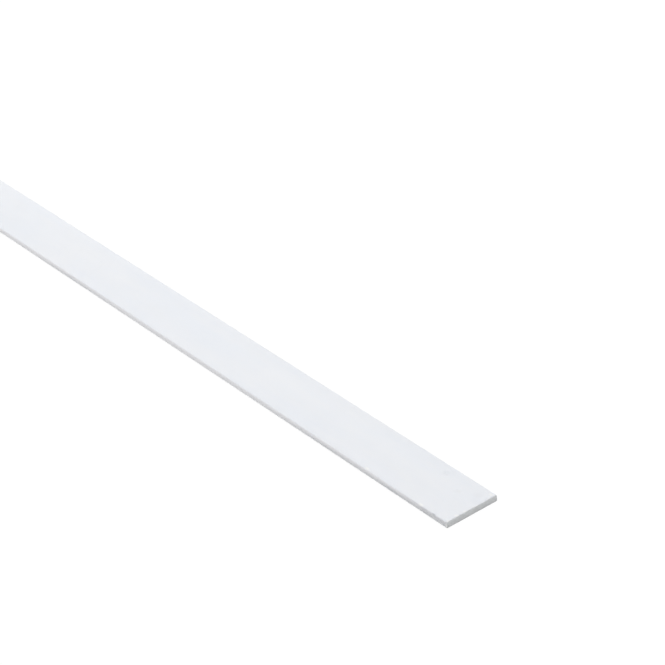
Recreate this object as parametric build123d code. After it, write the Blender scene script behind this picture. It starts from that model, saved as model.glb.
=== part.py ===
from build123d import *
import os

# White rigid PVC flat bar, a straight extruded strip sold by the length for trim and cover strips.
# It is one piece: a flat section with softened long edges, sawn square at both ends.
# The bar lies flat. X runs along it, Y across its width and Z through its thickness,
# and the origin is the centre of its underside.

# Stock size, in millimetres
bar_length = 1000.0
bar_width = 20.0
bar_thickness = 2.0

# Radius that the die leaves along each of the four long edges
long_edge_radius = 0.4

# Bevel all round each sawn end, where the burr was taken off
end_bevel = 0.1


def die_section():
    """The outline that the die gives, with its width along Y and its underside on Z = 0."""
    # The two rounded edges of a thin bar stop short of each other by the room that the bevel takes
    radius = min(long_edge_radius, bar_thickness / 2 - end_bevel)
    outline = RectangleRounded(bar_width, bar_thickness, radius, align=(Align.CENTER, Align.MIN))
    return Plane.YZ * outline


def drawn_strip():
    """The section drawn out along X, half of the length to each side of the origin."""
    return extrude(die_section(), bar_length / 2, both=True)


def sawn_bar():
    """The strip with the burr taken off the whole edge of each sawn end."""
    strip = drawn_strip()
    sawn_ends = strip.faces().filter_by(Axis.X)
    return chamfer(sawn_ends.edges(), end_bevel)


os.makedirs("parts", exist_ok=True)
flat_bar = sawn_bar()
flat_bar.label = "flat_bar"
export_step(flat_bar, "parts/flat_bar.step")
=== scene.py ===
import math

import bpy
from mathutils import Matrix, Vector


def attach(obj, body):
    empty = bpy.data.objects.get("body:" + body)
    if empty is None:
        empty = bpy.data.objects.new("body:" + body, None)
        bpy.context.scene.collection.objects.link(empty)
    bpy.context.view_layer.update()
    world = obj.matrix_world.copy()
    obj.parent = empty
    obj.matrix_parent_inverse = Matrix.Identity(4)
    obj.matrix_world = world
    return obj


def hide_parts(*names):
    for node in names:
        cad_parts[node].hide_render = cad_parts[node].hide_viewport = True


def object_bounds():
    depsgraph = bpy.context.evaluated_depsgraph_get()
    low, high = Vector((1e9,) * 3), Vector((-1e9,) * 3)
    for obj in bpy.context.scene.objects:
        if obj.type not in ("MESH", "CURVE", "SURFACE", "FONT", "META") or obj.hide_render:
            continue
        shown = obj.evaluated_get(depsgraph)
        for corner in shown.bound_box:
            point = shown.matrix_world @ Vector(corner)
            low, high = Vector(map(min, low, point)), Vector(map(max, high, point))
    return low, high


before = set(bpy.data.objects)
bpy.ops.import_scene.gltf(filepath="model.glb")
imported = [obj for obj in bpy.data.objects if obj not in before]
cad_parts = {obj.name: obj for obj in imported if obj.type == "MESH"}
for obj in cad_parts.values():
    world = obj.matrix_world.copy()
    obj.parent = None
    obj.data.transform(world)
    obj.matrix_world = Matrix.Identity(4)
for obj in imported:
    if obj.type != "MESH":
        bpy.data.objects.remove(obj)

# A white rigid PVC flat bar, 1 m long, lying on a pale floor.
# It is one extruded piece, so one mesh stands for the CAD solid:
# a Geometry Nodes tree draws the section out, rounds its long edges and takes the burr off both sawn ends.

cadLow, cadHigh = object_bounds()
print("frame: CAD box", [round(side * 1000, 2) for side in cadHigh - cadLow], "mm")


# Small helpers for node trees

def addNode(tree, kind, **settings):
    node = tree.nodes.new(kind)
    for name, value in settings.items():
        setattr(node, name, value)
    return node


def feed(tree, socket, source):
    # a number, vector or colour is set on the socket, another node's output is linked to it
    if isinstance(source, bpy.types.NodeSocket):
        tree.links.new(source, socket)
    else:
        socket.default_value = source


def feedAll(tree, sockets, sources):
    for socket, source in zip(sockets, sources):
        feed(tree, socket, source)


def maths(tree, operation, *sources):
    node = addNode(tree, "ShaderNodeMath", operation=operation)
    feedAll(tree, node.inputs, sources)
    return node.outputs[0]


def product(tree, first, *others):
    for other in others:
        first = maths(tree, "MULTIPLY", first, other)
    return first


def vectorMaths(tree, operation, *sources):
    # its outputs are Vector and Value
    node = addNode(tree, "ShaderNodeVectorMath", operation=operation)
    feedAll(tree, node.inputs, sources)
    return node.outputs


def vectorOf(tree, x, y, z):
    node = addNode(tree, "ShaderNodeCombineXYZ")
    feedAll(tree, node.inputs, (x, y, z))
    return node.outputs[0]


def splitUp(tree, vector):
    node = addNode(tree, "ShaderNodeSeparateXYZ")
    feed(tree, node.inputs[0], vector)
    return node.outputs


def addInputs(tree, kind, names):
    for name in names:
        tree.interface.new_socket(name, in_out="INPUT", socket_type="NodeSocket" + kind)


# The bar

bar = {
    "width": cadHigh.y - cadLow.y,
    "thickness": cadHigh.z - cadLow.z,
    "length": cadHigh.x - cadLow.x,
    "edgeRadius": 0.0004,       # long edges, as the die leaves them
    "endBevel": 0.00020,        # round each sawn end, at its widest
    "bevelUnevenness": 1.20,    # 0 takes the burr off evenly, higher values leave more of the edge sharp
    "sawLean": 0.00030,         # how much less of the length the saw left at the top than at the bottom
    "leanFade": 0.010,          # length over which the rings behind the cut straighten up again
    "sideCrown": 0.00005,       # how far the narrow sides bulge
    "faceSink": 0.00001,        # how far the wide faces shrink in at the middle as they cool
    "stations": 281,            # rings along the length, closer together towards the ends
    "endCrowding": 0.85,        # 0 spaces the rings evenly, 1 crowds them at the ends
    "rows": 45,                 # points across the width
    "layers": 13,               # points through the thickness
    "seed": 7,
}

# How squarely a face looks along the bar, from 0 to 1
cutFacing = 0.9                 # more than this is part of a sawn face
skinFacing = 0.3                # less than this is part of the smooth skin


def barTree():
    tree = bpy.data.node_groups.new("drawnBar", "GeometryNodeTree")
    tree.is_modifier = True
    addInputs(tree, "Float", (
        "Length", "Width", "Thickness", "Edge Radius", "End Bevel", "Bevel Unevenness", "Saw Lean",
        "Lean Fade", "Side Crown", "Face Sink", "End Crowding", "Seed"))
    addInputs(tree, "Int", ("Stations", "Rows", "Layers"))
    addInputs(tree, "Material", ("Skin", "Sawn Face"))
    tree.interface.new_socket("Geometry", in_out="OUTPUT", socket_type="NodeSocketGeometry")
    given = addNode(tree, "NodeGroupInput").outputs

    def calc(operation, *sources):
        return maths(tree, operation, *sources)

    def times(*sources):
        return product(tree, *sources)

    def between(value, low, high):
        return calc("MAXIMUM", calc("MINIMUM", value, high), low)

    # A block with a grid on every side. Its section goes from -1 to 1, and so does its length up to
    # the last ring but one. The ring past that is free to become the edge of the sawn face.
    blockSide = 2.0
    pastLastButOne = 1.0001
    spaces = calc("SUBTRACT", given["Stations"], 1.0)
    innerSpaces = calc("SUBTRACT", given["Stations"], 3.0)
    blockLength = calc("DIVIDE", times(blockSide, spaces), innerSpaces)
    block = addNode(tree, "GeometryNodeMeshCube")
    feed(tree, block.inputs["Size"], vectorOf(tree, blockLength, blockSide, blockSide))
    feed(tree, block.inputs["Vertices X"], given["Stations"])
    feed(tree, block.inputs["Vertices Y"], given["Rows"])
    feed(tree, block.inputs["Vertices Z"], given["Layers"])
    along, across, through = splitUp(tree, addNode(tree, "GeometryNodeInputPosition").outputs[0])

    # Along the bar: rings crowd towards the ends, and the outermost ring is a bevel's width further out
    quarterTurn = math.pi / 2
    whichEnd = calc("SIGN", along)
    atEnd = calc("GREATER_THAN", calc("ABSOLUTE", along), pastLastButOne)
    inner = between(along, -1.0, 1.0)
    crowding = given["End Crowding"]
    spaced = calc("ADD", times(calc("SINE", times(inner, quarterTurn)), crowding),
                  times(inner, calc("SUBTRACT", 1.0, crowding)))
    halfLength = calc("SUBTRACT", times(given["Length"], 0.5), given["End Bevel"])
    squareX = calc("ADD", times(spaced, halfLength), times(whichEnd, atEnd, given["End Bevel"]))

    # In section: rows and layers crowd towards the rounded edges
    u = calc("SINE", times(across, quarterTurn))
    v = calc("SINE", times(through, quarterTurn))

    # The bevel's width wanders round the sawn end, and there is less of it below
    patchesAcross = 9.0
    patchScale = 1.7
    mostLeftSharp = 0.95        # so that it never quite vanishes
    shareBelow = 0.30           # its width at the lower edge against that at the upper one
    wander = addNode(tree, "ShaderNodeTexNoise")
    feed(tree, wander.inputs["Vector"], vectorOf(
        tree, calc("ADD", whichEnd, given["Seed"]), times(u, patchesAcross), v))
    feed(tree, wander.inputs["Scale"], patchScale)
    leftSharp = calc("MINIMUM", times(wander.outputs[0], given["Bevel Unevenness"]), mostLeftSharp)
    byHeight = calc("ADD", times(v, (1 - shareBelow) / 2), (1 + shareBelow) / 2)
    inset = times(calc("SUBTRACT", 1.0, leftSharp), times(given["End Bevel"], byHeight, atEnd))

    # The square corner of the section becomes an arc: a point keeps its place beside the core,
    # and past the core it is pulled in onto the circle through its longer side
    nearlyNothing = 1e-9        # keeps the division off zero
    halfWidth = times(given["Width"], 0.5)
    halfThickness = times(given["Thickness"], 0.5)

    def pastCore(share, half):
        raw = times(share, calc("SUBTRACT", half, inset))
        core = calc("SUBTRACT", half, given["Edge Radius"])
        kept = between(raw, times(core, -1.0), core)
        return kept, calc("SUBTRACT", raw, kept)

    keptY, overY = pastCore(u, halfWidth)
    keptZ, overZ = pastCore(v, halfThickness)
    longer = calc("MAXIMUM", calc("ABSOLUTE", overY), calc("ABSOLUTE", overZ))
    reach = calc("SQRT", calc("ADD", times(overY, overY), times(overZ, overZ)))
    pull = calc("DIVIDE", longer, calc("MAXIMUM", reach, nearlyNothing))
    roundY = calc("ADD", keptY, times(overY, pull))
    roundZ = calc("ADD", keptZ, times(overZ, pull))

    # Both wide faces sink a little towards the middle of the width, and both narrow sides bulge
    sink = calc("DIVIDE", times(calc("SUBTRACT", 1.0, times(u, u)), given["Face Sink"]), halfThickness)
    z = times(roundZ, calc("SUBTRACT", 1.0, sink))
    fromMidHeight = calc("DIVIDE", roundZ, halfThickness)
    fallAway = times(fromMidHeight, fromMidHeight, given["Side Crown"])
    y = times(roundY, calc("SUBTRACT", 1.0, calc("DIVIDE", fallAway, halfWidth)))

    # The cut isn't quite upright: the top falls short, and the last rings lean with it
    nearCut = calc("SUBTRACT", calc("ABSOLUTE", squareX), calc("SUBTRACT", halfLength, given["Lean Fade"]))
    leanShare = between(calc("DIVIDE", nearCut, given["Lean Fade"]), 0.0, 1.0)
    fromFloor = calc("ADD", z, halfThickness)
    leanBy = times(calc("DIVIDE", fromFloor, given["Thickness"]), given["Saw Lean"], leanShare)
    x = calc("SUBTRACT", squareX, times(leanBy, whichEnd))

    shaped = addNode(tree, "GeometryNodeSetPosition")
    feed(tree, shaped.inputs["Geometry"], block.outputs["Mesh"])
    feed(tree, shaped.inputs["Position"], vectorOf(tree, x, y, fromFloor))

    # Smooth skin, flat sawn faces and bevels
    normal = splitUp(tree, addNode(tree, "GeometryNodeInputNormal").outputs[0])
    facing = calc("ABSOLUTE", normal["X"])
    shaded = addNode(tree, "GeometryNodeSetShadeSmooth", domain="FACE")
    feed(tree, shaded.inputs["Geometry"], shaped.outputs[0])
    feed(tree, shaded.inputs["Shade Smooth"], calc("LESS_THAN", facing, skinFacing))

    realized = addNode(tree, "GeometryNodeRealizeInstances")
    feed(tree, realized.inputs[0], shaded.outputs[0])
    skinned = addNode(tree, "GeometryNodeSetMaterial")
    feed(tree, skinned.inputs["Geometry"], realized.outputs[0])
    feed(tree, skinned.inputs["Material"], given["Skin"])
    finished = addNode(tree, "GeometryNodeSetMaterial")
    feed(tree, finished.inputs["Geometry"], skinned.outputs[0])
    feed(tree, finished.inputs["Selection"], calc("GREATER_THAN", facing, cutFacing))
    feed(tree, finished.inputs["Material"], given["Sawn Face"])
    feed(tree, addNode(tree, "NodeGroupOutput").inputs[0], finished.outputs[0])
    return tree


def plainMesh(tree, values, name):
    # runs the tree on an empty mesh and keeps the result as a mesh of its own
    carrier = bpy.data.objects.new(name + "Carrier", bpy.data.meshes.new(name + "Empty"))
    bpy.context.scene.collection.objects.link(carrier)
    modifier = carrier.modifiers.new(name, "NODES")
    modifier.node_group = tree
    for item in tree.interface.items_tree:
        if item.in_out == "INPUT":
            modifier[item.identifier] = values[item.name]
    evaluated = carrier.evaluated_get(bpy.context.evaluated_depsgraph_get())
    mesh = bpy.data.meshes.new_from_object(evaluated)
    mesh.name = name
    while mesh.materials and mesh.materials[0] is None:
        mesh.materials.pop(index=0)  # the block's own empty slot
    bpy.data.objects.remove(carrier)
    piece = bpy.data.objects.new(name, mesh)
    bpy.context.scene.collection.objects.link(piece)
    return piece


# The sheet that the bar's surface is laid out on where its patterns are turned into a picture.
# A metre of bar would get few pixels, so it is cut into lengths, which lie side by side.
sheet = {
    "mapName": "OFBake",
    "lengths": 5,
    "gap": 0.0010,              # between neighbours on the sheet
    "overrun": 0.0060,          # a face that reaches past its length may do so by this much
}


def layOut(mesh):
    length, width, thickness = bar["length"], bar["width"], bar["thickness"]
    count, gap, overrun = sheet["lengths"], sheet["gap"], sheet["overrun"]
    oneLength = length / count
    # each length has four strips: upper face, underside and both narrow sides
    starts = [0.0, width + gap, 2 * (width + gap), 2 * (width + gap) + thickness + gap]
    stripWidth = starts[3] + thickness + gap
    endRow = oneLength + 2 * overrun + gap
    sheetWidth = count * stripWidth
    sheetHeight = endRow + thickness + gap
    places = [vertex.co for vertex in mesh.vertices]
    corners = [loop.vertex_index for loop in mesh.loops]
    layer = mesh.uv_layers.new(name=sheet["mapName"])
    for face in mesh.polygons:
        normal, middle = face.normal, face.center
        index = min(int((middle.x / length + 0.5) * count), count - 1)
        for corner in face.loop_indices:
            x, y, z = places[corners[corner]]
            if abs(normal.x) > cutFacing:  # the sawn faces lie in a row of their own
                across = y + width / 2 + (width + gap if middle.x > 0 else 0.0)
                upward = endRow + z
            else:
                upward = x + length / 2 - index * oneLength + overrun
                if abs(normal.z) > abs(normal.y):
                    across = y + width / 2 + starts[0 if normal.z > 0 else 1]
                else:
                    across = z + starts[2 if normal.y > 0 else 3]
                across += index * stripWidth
            layer.data[corner].uv = ((across + gap / 2) / sheetWidth, (upward + gap / 2) / sheetHeight)


def makeBar(skinMaterial, sawnMaterial):
    piece = plainMesh(barTree(), {
        "Length": bar["length"],
        "Width": bar["width"],
        "Thickness": bar["thickness"],
        "Edge Radius": bar["edgeRadius"],
        "End Bevel": bar["endBevel"],
        "Bevel Unevenness": bar["bevelUnevenness"],
        "Saw Lean": bar["sawLean"],
        "Lean Fade": bar["leanFade"],
        "Side Crown": bar["sideCrown"],
        "Face Sink": bar["faceSink"],
        "End Crowding": bar["endCrowding"],
        "Seed": float(bar["seed"]),
        "Stations": bar["stations"],
        "Rows": bar["rows"],
        "Layers": bar["layers"],
        "Skin": skinMaterial,
        "Sawn Face": sawnMaterial,
    }, "whiteFlatBar")
    layOut(piece.data)
    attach(piece, "root")
    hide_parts("flat_bar")
    print("bar:", len(piece.data.polygons), "faces")
    return piece


# Effects that the finishes share. Every pattern reads Object coordinates, so its sizes are metres on the bar.

noiseSpread = (0.3, 0.7)        # most values of a noise lie between these


def newGroup(name, vectors, numbers, outputs):
    group = bpy.data.node_groups.new(name, "ShaderNodeTree")
    addInputs(group, "Vector", vectors)
    addInputs(group, "Float", numbers)
    for outputName in outputs:
        group.interface.new_socket(outputName, in_out="OUTPUT", socket_type="NodeSocketFloat")
    return group, addNode(group, "NodeGroupInput").outputs, addNode(group, "NodeGroupOutput").inputs


def placeGroup(tree, group, values):
    node = addNode(tree, "ShaderNodeGroup", node_tree=group)
    for name, value in values.items():
        feed(tree, node.inputs[name], value)
    return node.outputs


def stretched(tree, place, factors):
    # multiplies each axis, so that a round pattern comes out long or narrow
    return vectorMaths(tree, "MULTIPLY", place, factors)["Vector"]


def noise(tree, place, scale=1.0, detail=2.0):
    node = addNode(tree, "ShaderNodeTexNoise")
    feed(tree, node.inputs["Vector"], place)
    feed(tree, node.inputs["Scale"], scale)
    feed(tree, node.inputs["Detail"], detail)
    return node.outputs[0]


def ramp(tree, value, low, high, outLow=0.0, outHigh=1.0):
    # low to high becomes outLow to outHigh, with soft shoulders, and stays there beyond them
    node = addNode(tree, "ShaderNodeMapRange", interpolation_type="SMOOTHSTEP")
    for name, source in (("Value", value), ("From Min", low), ("From Max", high),
                         ("To Min", outLow), ("To Max", outHigh)):
        feed(tree, node.inputs[name], source)
    return node.outputs[0]


def mixColour(tree, share, first, second):
    # a Mix node has its sockets once for each kind of value, so those for colours go by number
    firstColour, secondColour, mixed = 6, 7, 2
    node = addNode(tree, "ShaderNodeMix", data_type="RGBA")
    feed(tree, node.inputs["Factor"], share)
    feed(tree, node.inputs[firstColour], first)
    feed(tree, node.inputs[secondColour], second)
    return node.outputs[mixed]


def makeMottle():
    # soft clouds from uneven mixing of the white pigment
    wideShare = 0.65
    finer = 4.3                 # how much smaller the other clouds are
    group, given, result = newGroup("pigmentMottle", ("Place",), ("Cloud Size", "Stretch"), ("Clouds",))
    across = maths(group, "DIVIDE", 1.0, given["Cloud Size"])
    along = maths(group, "DIVIDE", across, given["Stretch"])
    place = stretched(group, given["Place"], vectorOf(group, along, across, across))
    wide = maths(group, "MULTIPLY", noise(group, place, detail=1.0), wideShare)
    small = maths(group, "MULTIPLY", noise(group, place, scale=finer), 1.0 - wideShare)
    feed(group, result["Clouds"], ramp(group, maths(group, "ADD", wide, small), *noiseSpread))
    return group


def makeDust():
    # single specks, each in a cell of its own, of which only a share holds one
    smallest = 0.4              # against the largest
    faintest = 0.4              # against the strongest
    solidPart = 0.5             # of a speck's radius, before it fades
    group, given, result = newGroup("dustSpecks", ("Place",), ("Spacing", "Radius", "Share"), ("Specks",))
    cells = addNode(group, "ShaderNodeTexVoronoi")
    feed(group, cells.inputs["Vector"], given["Place"])
    feed(group, cells.inputs["Scale"], maths(group, "DIVIDE", 1.0, given["Spacing"]))
    presenceChance, sizeChance, strengthChance = splitUp(group, cells.outputs["Color"])
    largest = maths(group, "DIVIDE", given["Radius"], given["Spacing"])
    reach = maths(group, "MULTIPLY", largest, ramp(group, sizeChance, 0.0, 1.0, smallest))
    solid = maths(group, "MULTIPLY", reach, solidPart)
    speck = ramp(group, cells.outputs["Distance"], solid, reach, 1.0, 0.0)
    present = maths(group, "LESS_THAN", presenceChance, given["Share"])
    strength = ramp(group, strengthChance, 0.0, 1.0, faintest)
    feed(group, result["Specks"], product(group, speck, present, strength))
    return group


def makeCutEdgeHighlights():
    # painted highlight: paler spots along the edges of the cut, where the edges catch light
    spotsPerMetre = 700.0
    spotRange = (0.56, 0.72)
    group, given, result = newGroup(
        "cutEdgeHighlights", ("Place",), ("Half Length", "Half Width", "Thickness", "Reach"), ("Edge Highlight",))
    x, y, z = splitUp(group, given["Place"])
    half = maths(group, "MULTIPLY", given["Thickness"], 0.5)
    fromEnd = maths(group, "SUBTRACT", given["Half Length"], maths(group, "ABSOLUTE", x))
    fromSide = maths(group, "SUBTRACT", given["Half Width"], maths(group, "ABSOLUTE", y))
    fromFace = maths(group, "SUBTRACT", half, maths(group, "ABSOLUTE", maths(group, "SUBTRACT", z, half)))
    # on the skin only the end's distance is left, and on the sawn face only that of its nearest edge
    distance = maths(group, "MAXIMUM", fromEnd, maths(group, "MINIMUM", fromSide, fromFace))
    near = ramp(group, distance, 0.0, given["Reach"], 1.0, 0.0)
    spots = ramp(group, noise(group, given["Place"], spotsPerMetre, 1.0), *spotRange)
    feed(group, result["Edge Highlight"], maths(group, "MULTIPLY", near, spots))
    return group


def makeSideShading():
    # painted shade: the low edge darkens towards the floor, most near a cut, where the narrow side darkens
    # too
    fullBelow = 0.30            # heights as shares of the thickness
    noneAbove = 0.85
    patchesPerMetre = (130.0, 500.0, 500.0)
    thinnest = 0.6              # the darkening between the patches
    cornerWidth = 0.0003        # over which a wide face turns into a narrow side
    group, given, result = newGroup(
        "sideShading", ("Place",), ("Half Length", "Half Width", "Thickness", "Reach", "Left", "Darkening Reach"),
        ("Low Edge Shade", "End Darkening", "Narrow Side"))
    x, y, z = splitUp(group, given["Place"])
    fromMiddle = maths(group, "ABSOLUTE", x)

    def towardsEnd(reach, left=0.0):
        # 1 at the cut, falling over the reach to what is left along the bar
        start = maths(group, "SUBTRACT", given["Half Length"], reach)
        return ramp(group, fromMiddle, start, given["Half Length"], left)

    low = ramp(group, z, maths(group, "MULTIPLY", given["Thickness"], fullBelow),
               maths(group, "MULTIPLY", given["Thickness"], noneAbove), 1.0, 0.0)
    uneven = noise(group, stretched(group, given["Place"], patchesPerMetre))
    patchy = ramp(group, uneven, *noiseSpread, thinnest)
    beside = maths(group, "SUBTRACT", given["Half Width"], cornerWidth)
    onSide = ramp(group, maths(group, "ABSOLUTE", y), beside, given["Half Width"])
    feed(group, result["Low Edge Shade"], product(group, towardsEnd(given["Reach"], given["Left"]), low, patchy))
    # near a cut the narrow side is darkened over its whole height
    feed(group, result["End Darkening"], product(group, towardsEnd(given["Darkening Reach"]), onSide, patchy))
    feed(group, result["Narrow Side"], onSide)
    return group


def makeSmallMark():
    # one dent, pimple, smudge or torn spot: 1 at its middle, and 0 from its rim outwards
    group, given, result = newGroup("smallMark", ("Place", "Middle", "Size"), (), ("Mark",))
    offset = vectorMaths(group, "SUBTRACT", given["Place"], given["Middle"])["Vector"]
    shares = vectorMaths(group, "DIVIDE", offset, given["Size"])["Vector"]
    distance = vectorMaths(group, "LENGTH", shares)["Value"]
    feed(group, result["Mark"], ramp(group, distance, 0.0, 1.0, 1.0, 0.0))
    return group


def makeScuffs():
    # short thin scratches, all at one angle, in patches
    softRim = 0.06
    patchesPerMetre = 45.0
    patchRange = (0.48, 0.62)
    group, given, result = newGroup("scuffs", ("Place",), ("Turn", "Length", "Width", "Rarity"), ("Lines",))
    turnNode = addNode(group, "ShaderNodeVectorRotate", rotation_type="Z_AXIS")
    feed(group, turnNode.inputs["Vector"], given["Place"])
    feed(group, turnNode.inputs["Angle"], given["Turn"])
    turned = turnNode.outputs[0]
    along = maths(group, "DIVIDE", 1.0, given["Length"])
    across = maths(group, "DIVIDE", 1.0, given["Width"])
    narrow = noise(group, stretched(group, turned, vectorOf(group, along, across, across)), detail=0.0)
    lines = ramp(group, narrow, given["Rarity"], maths(group, "ADD", given["Rarity"], softRim))
    patches = ramp(group, noise(group, turned, patchesPerMetre, 1.0), *patchRange)
    feed(group, result["Lines"], maths(group, "MULTIPLY", lines, patches))
    return group


effects = {
    "mottle": makeMottle(),
    "dust": makeDust(),
    "cutEdgeHighlights": makeCutEdgeHighlights(),
    "sideShading": makeSideShading(),
    "smallMark": makeSmallMark(),
    "scuffs": makeScuffs(),
}
print("effects:", ", ".join(effects))

# White PVC all through
plastic = {
    "refraction": 1.53,
    "scatterShare": 1.0,
    "scatterReach": 0.00035,    # how far light spreads in it, in metres
    "scatterColours": (1.0, 1.0, 1.0),  # red, green and blue spread alike
}

# The smooth skin that the die leaves. Heights are micrometres.
# A pattern's cells are how many of its spots go into a metre along the bar, across it and upwards.
skin = {
    "coolWhite": (0.820, 0.845, 0.893, 1.0),
    "warmWhite": (0.842, 0.858, 0.892, 1.0),
    "cloudSize": 0.012,
    "cloudStretch": 3.0,
    "paintedSideLight": (0.886, 0.877, 0.892, 1.0),  # painted light: the narrow sides are painted paler and warmer than the wide faces
    "paintedSideLightShare": 0.75,
    # Painted shade: the low edge darkens towards the floor, more near the cut; the same grey colours the
    # smudges
    "shadeAndSmudgeGrey": (0.445, 0.470, 0.495, 1.0),
    "lowEdgeShadeStrength": 0.62,
    "lowEdgeShadeReach": 0.100,        # how far from the sawn end the painted shade on the low edge is strongest
    "lowEdgeShadeLeft": 0.24,          # how much of that is left along the rest of the bar
    "endDarkeningStrength": 0.56,
    "endDarkeningReach": 0.026,        # the last bit, where the narrow side is greyed over its whole height
    "dustGrey": (0.42, 0.41, 0.39, 1.0),
    "dustSpacing": 0.006,
    "dustRadius": 0.00022,
    "dustShare": 0.30,
    # Painted highlights: paler spots where the edges of the cut catch light
    "highlightWhite": (0.95, 0.955, 0.96, 1.0),
    "highlightReach": 0.0007,
    "scuffGrey": (0.70, 0.71, 0.72, 1.0),
    "scuffStrength": 0.08,
    "scuffRoughness": 0.20,
    "scuffDepth": 1.5,
    "scuffTurns": (0.22, -0.35, 1.1),        # one set of scratches for each, in radians from the bar's length
    "scuffLength": 0.014,
    "scuffWidth": 0.00030,
    "scuffRarity": 0.76,
    "roughness": 0.36,
    "streakRoughness": 0.10,    # added in long streaks that are dull
    "streakCells": (3.0, 420.0, 420.0),
    "streakRange": (0.35, 0.7),
    "dieLines": 1.6,            # broad lines that the die draws
    "dieLineCells": (5.0, 650.0, 650.0),
    "fineLines": 0.7,
    "fineLineCells": (14.0, 2600.0, 2600.0),
    "peel": 0.8,                # the faint waviness between the lines
    "peelCells": (160.0, 380.0, 380.0),
    "gelHeight": 7.0,           # small hard lumps in the plastic
    "gelRadius": 0.0006,
    "gelSpacing": 0.021,
    "gelShare": 0.35,
}

# Marks that show in the upper face near the end: middle and half size in metres, height in micrometres
skinMarks = [
    {"middle": (0.4826, 0.0064, 0.002), "size": (0.0013, 0.0013, 0.001), "height": -190.0},
    {"middle": (0.4910, 0.0027, 0.002), "size": (0.0013, 0.0013, 0.001), "height": 140.0},
    {"middle": (0.4800, -0.0046, 0.002), "size": (0.0012, 0.0010, 0.001), "height": -20.0},
]

# Finger marks, a stretch of painted shade along the low edge, and nicks: how much of the grey they add
skinSmudgesAndShade = [
    {"middle": (0.4967, 0.0055, 0.002), "size": (0.0024, 0.0022, 0.001), "strength": 0.08},
    {"middle": (0.4980, 0.0029, 0.002), "size": (0.0024, 0.0022, 0.001), "strength": 0.09},
    {"middle": (0.3560, -0.0020, 0.002), "size": (0.0100, 0.0050, 0.001), "strength": 0.02},
    # painted shade along the low edge of the narrow side
    {"middle": (0.3180, -0.0100, 0.0004), "size": (0.0300, 0.0009, 0.0011), "strength": 0.26},
    {"middle": (0.4946, -0.0099, 0.0019), "size": (0.0011, 0.0005, 0.0007), "strength": 0.60},
    {"middle": (0.4996, -0.0045, 0.002), "size": (0.0006, 0.0006, 0.0006), "strength": 0.35},
]

# Painted highlights: pale spots where the edge of the cut and the long edge catch light
skinHighlights = [
    {"middle": (0.4998, -0.0091, 0.002), "size": (0.0009, 0.0008, 0.0006)},
    {"middle": (0.4993, -0.0056, 0.002), "size": (0.0009, 0.0009, 0.0006)},
    {"middle": (0.4995, -0.0025, 0.002), "size": (0.0008, 0.0008, 0.0006)},
    {"middle": (0.4986, 0.0087, 0.002), "size": (0.0011, 0.0008, 0.0006)},
    {"middle": (0.4890, -0.0095, 0.0019), "size": (0.0015, 0.0008, 0.0006)},
    {"middle": (0.4660, -0.0094, 0.0019), "size": (0.0013, 0.0008, 0.0006)},
    {"middle": (0.4998, -0.0100, 0.0011), "size": (0.0005, 0.0004, 0.0012)},
]

# The cut face at each end, with heights and cells as in the skin
sawn = {
    "paleGrey": (0.790, 0.804, 0.812, 1.0),
    "darkGrey": (0.740, 0.757, 0.763, 1.0),
    "cloudSize": 0.0016,
    "cloudStretch": 1.0,
    # painted shade: the low edge of the cut darkens towards the floor
    "shadeAndSmudgeGrey": (0.42, 0.43, 0.43, 1.0),
    "lowEdgeShadeStrength": 0.12,
    "contactShadeGrey": (0.25, 0.26, 0.26, 1.0),     # painted shade: the lowest edge of the cut, darkened where it meets the floor
    "contactShadeHeight": 0.00028,
    "contactShadeStrength": 0.85,
    "dustGrey": (0.40, 0.40, 0.38, 1.0),
    "dustSpacing": 0.0018,
    "dustRadius": 0.00012,
    "dustShare": 0.35,
    # painted highlight along the edges of the cut
    "highlightWhite": (0.90, 0.905, 0.91, 1.0),
    "highlightReach": 0.00022,
    "roughness": 0.55,
    "tornRoughness": 0.12,      # added where the plastic is torn
    "toothPitch": 0.00042,      # between the marks of the saw's teeth
    "toothDrift": 2.5,          # how many pitches they wander
    "driftCells": 420.0,
    "toothLean": 0.22,          # how far the marks lean from upright
    "toothDepth": 9.0,
    "grain": 4.0,               # of the torn plastic between them
    "grainCells": (4000.0, 5200.0, 1700.0),
}


def objectPlace(tree):
    return addNode(tree, "ShaderNodeTexCoord").outputs["Object"]


def overBar(place):
    # what an effect that goes by the bar's edges is given
    return {"Place": place, "Half Length": bar["length"] / 2, "Half Width": bar["width"] / 2,
            "Thickness": bar["thickness"]}


def placeClouds(tree, place, finish):
    return placeGroup(tree, effects["mottle"], {
        "Place": place, "Cloud Size": finish["cloudSize"], "Stretch": finish["cloudStretch"]})["Clouds"]


def placeSpecks(tree, place, finish, kind):
    return placeGroup(tree, effects["dust"], {
        "Place": place, "Spacing": finish[kind + "Spacing"], "Radius": finish[kind + "Radius"],
        "Share": finish[kind + "Share"]})["Specks"]


def placeEdgeHighlights(tree, place, finish):
    return placeGroup(tree, effects["cutEdgeHighlights"], {
        **overBar(place), "Reach": finish["highlightReach"]})["Edge Highlight"]


def placeSideShading(tree, place):
    return placeGroup(tree, effects["sideShading"], {
        **overBar(place), "Reach": skin["lowEdgeShadeReach"], "Left": skin["lowEdgeShadeLeft"],
        "Darkening Reach": skin["endDarkeningReach"]})


def placeMark(tree, place, mark):
    return placeGroup(tree, effects["smallMark"], {
        "Place": place, "Middle": mark["middle"], "Size": mark["size"]})["Mark"]


def placeScuffs(tree, place):
    # scratches at every angle, one set over the other
    scuffed = None
    for turn in skin["scuffTurns"]:
        lines = placeGroup(tree, effects["scuffs"], {
            "Place": place, "Turn": turn, "Length": skin["scuffLength"], "Width": skin["scuffWidth"],
            "Rarity": skin["scuffRarity"]})["Lines"]
        scuffed = maths(tree, "MAXIMUM", scuffed, lines) if scuffed else lines
    return scuffed


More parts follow.
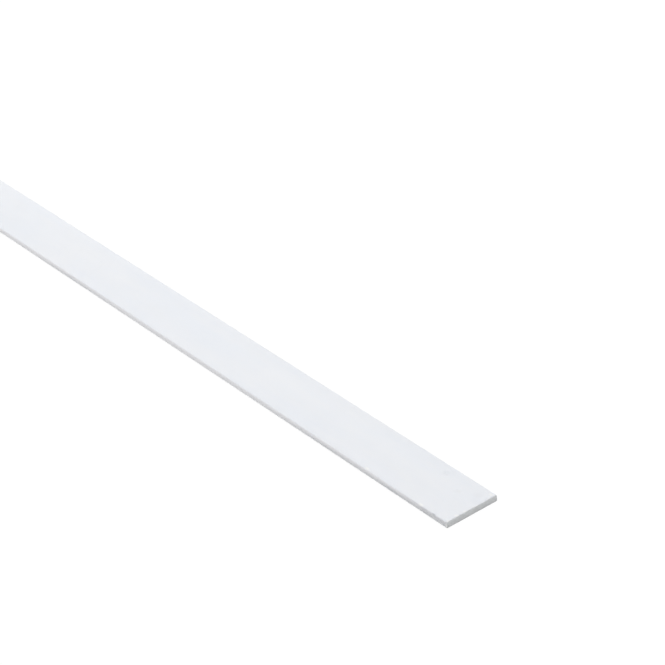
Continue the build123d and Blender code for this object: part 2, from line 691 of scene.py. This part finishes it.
def tinted(tree, colour, pattern, strength, tint):
    return mixColour(tree, maths(tree, "MULTIPLY", pattern, strength), colour, tint)


def bumpFrom(tree, patterns):
    # patterns that go from 0 to 1, each with its height in micrometres, add up to one surface
    micrometre = 0.000001
    heights = [maths(tree, "MULTIPLY", pattern, height) for pattern, height in patterns]
    total = heights[0]
    for height in heights[1:]:
        total = maths(tree, "ADD", total, height)
    bump = addNode(tree, "ShaderNodeBump")
    feed(tree, bump.inputs["Strength"], 1.0)
    feed(tree, bump.inputs["Distance"], micrometre)
    feed(tree, bump.inputs["Height"], total)
    return bump.outputs["Normal"]


def newPlastic(name):
    material = bpy.data.materials.new(name)
    material.use_nodes = True
    tree = material.node_tree
    inputs = tree.nodes["Principled BSDF"].inputs
    feed(tree, inputs["IOR"], plastic["refraction"])
    feed(tree, inputs["Subsurface Weight"], plastic["scatterShare"])
    feed(tree, inputs["Subsurface Radius"], plastic["scatterColours"])
    feed(tree, inputs["Subsurface Scale"], plastic["scatterReach"])
    return material, tree, inputs


def makeSkin():
    material, tree, inputs = newPlastic("pvcSkin")
    place = objectPlace(tree)
    paintedShading = placeSideShading(tree, place)
    scuffed = placeScuffs(tree, place)

    colour = mixColour(tree, placeClouds(tree, place, skin), skin["coolWhite"], skin["warmWhite"])
    # painted light: the narrow sides are painted paler
    colour = tinted(tree, colour, paintedShading["Narrow Side"], skin["paintedSideLightShare"], skin["paintedSideLight"])
    colour = tinted(tree, colour, scuffed, skin["scuffStrength"], skin["scuffGrey"])
    # painted shade on the low edge, and the narrow side darkened near the cut
    darkened = maths(tree, "MAXIMUM", maths(tree, "MULTIPLY", paintedShading["Low Edge Shade"], skin["lowEdgeShadeStrength"]),
                   maths(tree, "MULTIPLY", paintedShading["End Darkening"], skin["endDarkeningStrength"]))
    colour = mixColour(tree, darkened, colour, skin["shadeAndSmudgeGrey"])
    for darkMark in skinSmudgesAndShade:
        colour = tinted(tree, colour, placeMark(tree, place, darkMark), darkMark["strength"], skin["shadeAndSmudgeGrey"])
    colour = mixColour(tree, placeSpecks(tree, place, skin, "dust"), colour, skin["dustGrey"])
    # painted highlights along the edges of the cut and at single spots
    colour = mixColour(tree, placeEdgeHighlights(tree, place, skin), colour, skin["highlightWhite"])
    for highlightSpot in skinHighlights:
        colour = mixColour(tree, placeMark(tree, place, highlightSpot), colour, skin["highlightWhite"])
    feed(tree, inputs["Base Color"], colour)

    dull = ramp(tree, noise(tree, stretched(tree, place, skin["streakCells"])), *skin["streakRange"])
    duller = maths(tree, "ADD", maths(tree, "MULTIPLY", dull, skin["streakRoughness"]),
                   maths(tree, "MULTIPLY", scuffed, skin["scuffRoughness"]))
    feed(tree, inputs["Roughness"], maths(tree, "ADD", duller, skin["roughness"]))

    patterns = [
        (noise(tree, stretched(tree, place, skin["dieLineCells"]), detail=1.0), skin["dieLines"]),
        (noise(tree, stretched(tree, place, skin["fineLineCells"])), skin["fineLines"]),
        (noise(tree, stretched(tree, place, skin["peelCells"])), skin["peel"]),
        (scuffed, -skin["scuffDepth"]),
        (placeSpecks(tree, place, skin, "gel"), skin["gelHeight"]),
    ]
    patterns += [(placeMark(tree, place, mark), mark["height"]) for mark in skinMarks]
    feed(tree, inputs["Normal"], bumpFrom(tree, patterns))
    return material


def makeSawnFace():
    material, tree, inputs = newPlastic("pvcSawnFace")
    place = objectPlace(tree)
    y, z = splitUp(tree, place)[1:]

    # Marks of the saw's teeth: leaning lines with an uneven pitch
    pitch = sawn["toothPitch"]
    drift = maths(tree, "MULTIPLY", noise(tree, place, sawn["driftCells"], 1.0), pitch * sawn["toothDrift"])
    leaning = maths(tree, "ADD", y, maths(tree, "MULTIPLY", z, sawn["toothLean"]))
    wandering = maths(tree, "ADD", leaning, drift)
    wave = maths(tree, "SINE", maths(tree, "MULTIPLY", wandering, 2 * math.pi / pitch))
    torn = noise(tree, stretched(tree, place, sawn["grainCells"]))
    teeth = maths(tree, "MULTIPLY", maths(tree, "ADD", wave, 1.0), torn)

    colour = mixColour(tree, placeClouds(tree, place, sawn), sawn["darkGrey"], sawn["paleGrey"])
    # painted shade on the low edge of the cut
    paintedShading = placeSideShading(tree, place)["Low Edge Shade"]
    colour = tinted(tree, colour, paintedShading, sawn["lowEdgeShadeStrength"], sawn["shadeAndSmudgeGrey"])
    # painted shade along the foot of the cut, where it meets the floor
    contactShade = ramp(tree, z, 0.0, sawn["contactShadeHeight"], sawn["contactShadeStrength"], 0.0)
    colour = mixColour(tree, contactShade, colour, sawn["contactShadeGrey"])
    colour = mixColour(tree, placeSpecks(tree, place, sawn, "dust"), colour, sawn["dustGrey"])
    # painted highlight along the edges of the cut
    colour = mixColour(tree, placeEdgeHighlights(tree, place, sawn), colour, sawn["highlightWhite"])
    feed(tree, inputs["Base Color"], colour)
    rougher = maths(tree, "MULTIPLY", torn, sawn["tornRoughness"])
    feed(tree, inputs["Roughness"], maths(tree, "ADD", rougher, sawn["roughness"]))
    feed(tree, inputs["Normal"], bumpFrom(tree, [(teeth, sawn["toothDepth"]), (torn, sawn["grain"])]))
    return material


# Floor, light and camera

studio = {
    "floorSize": 16.0,
    "floorGap": 0.00002,                     # below the bar, so that the two don't flicker
    "floorColour": (0.85, 0.85, 0.85, 1.0),  # what the floor throws back onto the bar
    "floorLitPart": (0.16, 0.16, 0.16, 1.0),  # the part of its seen white that takes light and shadow
    "floorWhite": 0.88,                      # the rest of it, near the bar
    "farWhite": 0.96,                        # and out where the softboxes' light gives out
    "nearReach": 0.20,                       # metres from the bar at which the one turns into the other
    "farReach": 1.20,
    "worldColour": (1.0, 1.0, 1.0, 1.0),
    "worldLight": 0.36,                      # how strongly it lights the bar
}


def seenMask(tree):
    # 1 for the rays that see the backdrop itself, 0 for those that only carry its light
    rays = addNode(tree, "ShaderNodeLightPath").outputs
    either = maths(tree, "MAXIMUM", rays["Is Camera Ray"], rays["Is Glossy Ray"])
    return maths(tree, "MAXIMUM", either, rays["Is Transmission Ray"])


def chooseShader(tree, share, first, second):
    choice = addNode(tree, "ShaderNodeMixShader")
    feedAll(tree, choice.inputs, (share, first, second))
    return choice.outputs[0]


def floorFinish():
    material = bpy.data.materials.new("paleFloor")
    material.use_nodes = True
    material.cycles.emission_sampling = "NONE"  # its white lights nothing, so no light rays are spent on it
    tree = material.node_tree
    tree.nodes.clear()
    bounce = addNode(tree, "ShaderNodeBsdfDiffuse")
    feed(tree, bounce.inputs["Color"], studio["floorColour"])
    lit = addNode(tree, "ShaderNodeBsdfDiffuse")
    feed(tree, lit.inputs["Color"], studio["floorLitPart"])
    x, y = splitUp(tree, objectPlace(tree))[:2]
    beyond = maths(tree, "SUBTRACT", maths(tree, "ABSOLUTE", x), bar["length"] / 2)
    pastEnd = maths(tree, "MAXIMUM", beyond, 0.0)
    fromBar = vectorMaths(tree, "LENGTH", vectorOf(tree, pastEnd, y, 0.0))["Value"]
    white = addNode(tree, "ShaderNodeEmission")
    feed(tree, white.inputs["Strength"], ramp(
        tree, fromBar, studio["nearReach"], studio["farReach"], studio["floorWhite"], studio["farWhite"]))
    seen = addNode(tree, "ShaderNodeAddShader")
    feedAll(tree, seen.inputs, (lit.outputs[0], white.outputs[0]))
    choice = chooseShader(tree, seenMask(tree), bounce.outputs[0], seen.outputs[0])
    feed(tree, addNode(tree, "ShaderNodeOutputMaterial").inputs["Surface"], choice)
    return material


def makeFloor():
    half = studio["floorSize"] / 2
    height = cadLow.z - studio["floorGap"]
    corners = [(-half, -half, height), (half, -half, height), (half, half, height), (-half, half, height)]
    mesh = bpy.data.meshes.new("paleFloor")
    mesh.from_pydata(corners, [], [(0, 1, 2, 3)])
    mesh.materials.append(floorFinish())
    floor = bpy.data.objects.new("paleFloor", mesh)
    bpy.context.scene.collection.objects.link(floor)


def makeWorld():
    world = bpy.data.worlds.new("studioWorld")
    bpy.context.scene.world = world
    world.use_nodes = True
    tree = world.node_tree
    tree.nodes.clear()
    light = addNode(tree, "ShaderNodeBackground")
    feed(tree, light.inputs["Strength"], studio["worldLight"])
    backdrop = addNode(tree, "ShaderNodeBackground")
    for background in (light, backdrop):
        feed(tree, background.inputs["Color"], studio["worldColour"])
    choice = chooseShader(tree, seenMask(tree), light.outputs[0], backdrop.outputs[0])
    feed(tree, addNode(tree, "ShaderNodeOutputWorld").inputs["Surface"], choice)


softboxes = {
    "overhead": {"place": (0.08, 0.0, 1.20), "aim": (0.08, 0.0, 0.0), "size": (2.4, 0.9), "power": 8.20},
    "behind": {"place": (-0.05, 0.75, 0.80), "aim": (0.0, 0.0, 0.0), "size": (2.2, 0.5), "power": 4.80},
    "sideFill": {"place": (0.0, -0.50, 0.22), "aim": (0.0, 0.0, 0.0), "size": (1.4, 0.2), "power": 0.98},
}


def makeSoftboxes():
    for name, box in softboxes.items():
        light = bpy.data.lights.new(name, "AREA")
        light.shape = "RECTANGLE"
        light.size, light.size_y = box["size"]
        light.energy = box["power"]
        lamp = bpy.data.objects.new(name, light)
        lamp.location = box["place"]
        lamp.rotation_mode = "QUATERNION"
        lamp.rotation_quaternion = (Vector(box["aim"]) - Vector(box["place"])).to_track_quat("-Z", "Y")
        bpy.context.scene.collection.objects.link(lamp)


photo = {
    "side": 665,                    # pixels
    "focalLength": 2153.0,          # pixels
    "azimuth": 48.858,              # degrees; 0 looks along +Y
    "elevation": 32.124,            # degrees above the floor
    "cornerPixel": (446.62, 528.74),  # the lowest corner of the sawn end
    "cornerDepth": 0.6026,          # metres from the lens, along its axis
    "sensor": 36.0,                 # millimetres
    "clipStart": 0.01,
}


def makeCamera():
    azimuth, elevation = math.radians(photo["azimuth"]), math.radians(photo["elevation"])
    forward = Vector((-math.sin(azimuth) * math.cos(elevation), math.cos(azimuth) * math.cos(elevation),
                      -math.sin(elevation)))
    right = Vector((math.cos(azimuth), math.sin(azimuth), 0.0))
    up = right.cross(forward)
    turn = Matrix((right, up, -forward)).transposed()
    corner = Vector((cadHigh.x, cadLow.y, cadLow.z))
    middle = photo["side"] / 2
    depth = photo["cornerDepth"]
    sideways, downwards = [(pixel - middle) / photo["focalLength"] * depth for pixel in photo["cornerPixel"]]
    lens = corner - sideways * right + downwards * up - depth * forward
    data = bpy.data.cameras.new("photoCamera")
    data.sensor_width = photo["sensor"]
    data.lens = photo["focalLength"] / photo["side"] * photo["sensor"]
    data.clip_start = photo["clipStart"]
    camera = bpy.data.objects.new("photoCamera", data)
    camera.matrix_world = Matrix.Translation(lens) @ turn.to_4x4()
    bpy.context.scene.collection.objects.link(camera)
    bpy.context.scene.camera = camera


makeCamera()
makeWorld()
makeFloor()
makeSoftboxes()
print("studio: camera, world, floor and", len(softboxes), "softboxes")

skinMaterial = makeSkin()
sawnMaterial = makeSawnFace()
print("finishes:", skinMaterial.name, "and", sawnMaterial.name)

makeBar(skinMaterial, sawnMaterial)

bpy.context.scene.view_settings.view_transform = "Standard"
